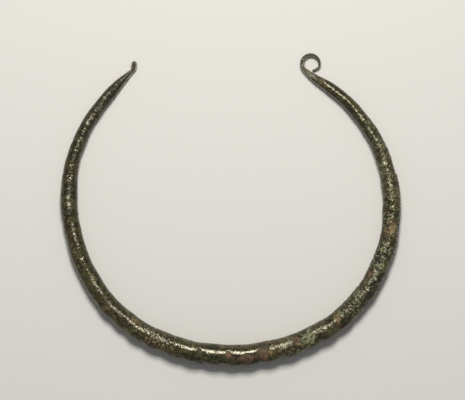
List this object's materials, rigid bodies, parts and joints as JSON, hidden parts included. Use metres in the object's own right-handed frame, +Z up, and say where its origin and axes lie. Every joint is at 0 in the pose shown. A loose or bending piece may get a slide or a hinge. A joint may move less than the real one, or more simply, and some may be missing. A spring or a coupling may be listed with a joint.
{
  "type": "bronze torc",
  "caption": "Open bronze neck ring: a tapered round bar, thickest at the bow, with one end rolled into an eyelet and the other broken off where its own curl began.",
  "frame": {"origin": "middle of the ring's box on the surface it lies on", "axes": "+X across the ring towards the arm with the eyelet, +Y from the bow towards the open side, +Z up from the surface it lies on"},
  "size_m": [0.1602, 0.1476, 0.0103],
  "materials": {
    "patinated_bronze": "dark olive-green to brown patina with red-brown patches, waxed, satin to glossy"
  },
  "bodies": {
    "root": {"torc": "patinated_bronze"}
  },
  "joints": []
}
